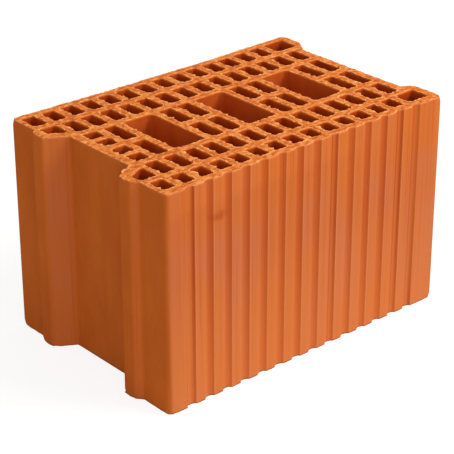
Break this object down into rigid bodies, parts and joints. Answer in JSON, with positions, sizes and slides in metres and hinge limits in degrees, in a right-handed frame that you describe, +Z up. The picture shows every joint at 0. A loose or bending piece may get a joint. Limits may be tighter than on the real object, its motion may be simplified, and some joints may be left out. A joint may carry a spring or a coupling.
{
  "type": "hollow clay brick",
  "caption": "Hollow extruded clay brick for laying in walls: straight holes between its bed faces, tongues at one end, a recess at the other, grooves on one long face.",
  "frame": {"origin": "centre of the block's box on its bottom bed face", "axes": "+Z up along the holes, +X along the length from the tongue end to the lug end, -Y out of the grooved long face"},
  "size_m": [0.382, 0.25, 0.238],
  "materials": {
    "fired_clay": "unglazed, matte, wire-cut on the bed faces and drawn smooth on the sides"
  },
  "bodies": {
    "root": {"clay_block": "fired_clay"}
  },
  "joints": []
}
